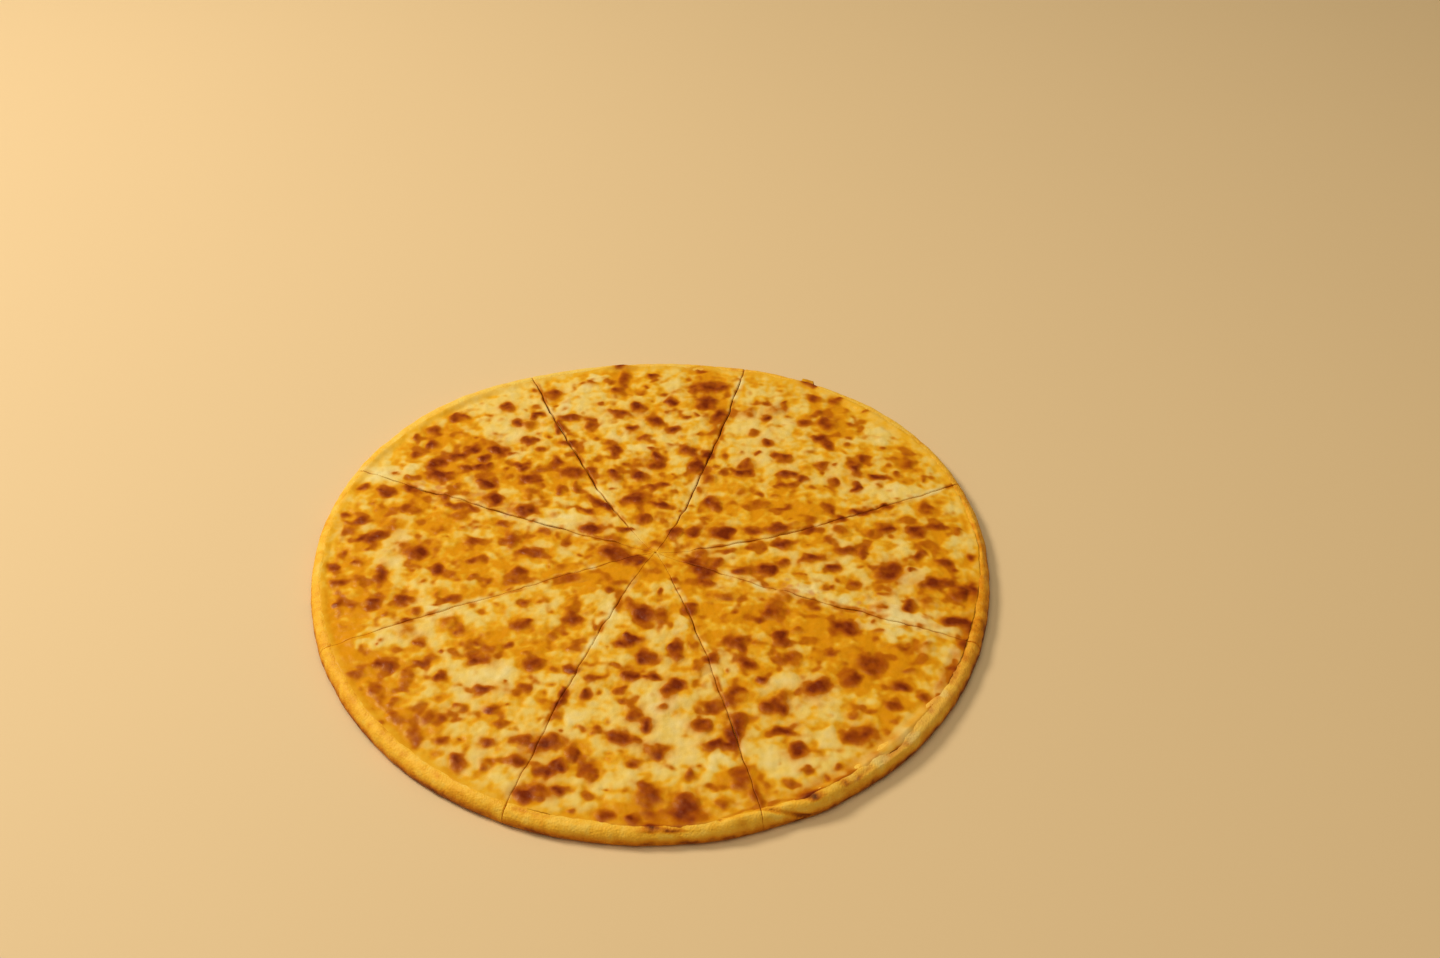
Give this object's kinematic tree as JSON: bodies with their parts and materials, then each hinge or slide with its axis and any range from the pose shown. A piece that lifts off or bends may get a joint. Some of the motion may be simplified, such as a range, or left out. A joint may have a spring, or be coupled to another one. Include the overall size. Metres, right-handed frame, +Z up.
{
  "type": "pan pizza",
  "caption": "Round cheese pizza with a low baked rim, cut by a wheel into wedges that lie together; each wedge has a crust, a filling and a browned cheese layer.",
  "frame": {"origin": "on the flat underside, under the middle of the pizza's outline", "axes": "+Z up through the thickness; +X to the right and +Y away from the viewer, as in the reference view"},
  "size_m": [0.3004, 0.2954, 0.0093],
  "materials": {
    "crust": "baked dough, dry and slightly rough, golden to pale",
    "filling": "moist sauce with chopped meat",
    "cheese": "melted cheese with browned spots and an oily gloss"
  },
  "bodies": {
    "root": {"slice_1_crust": "crust", "slice_1_filling": "filling", "slice_1_cheese": "cheese", "slice_2_crust": "crust", "slice_2_filling": "filling", "slice_2_cheese": "cheese", "slice_3_crust": "crust", "slice_3_filling": "filling", "slice_3_cheese": "cheese", "slice_4_crust": "crust", "slice_4_filling": "filling", "slice_4_cheese": "cheese", "slice_5_crust": "crust", "slice_5_filling": "filling", "slice_5_cheese": "cheese", "slice_6_crust": "crust", "slice_6_filling": "filling", "slice_6_cheese": "cheese", "slice_7_crust": "crust", "slice_7_filling": "filling", "slice_7_cheese": "cheese", "slice_8_crust": "crust", "slice_8_filling": "filling", "slice_8_cheese": "cheese"}
  },
  "joints": []
}
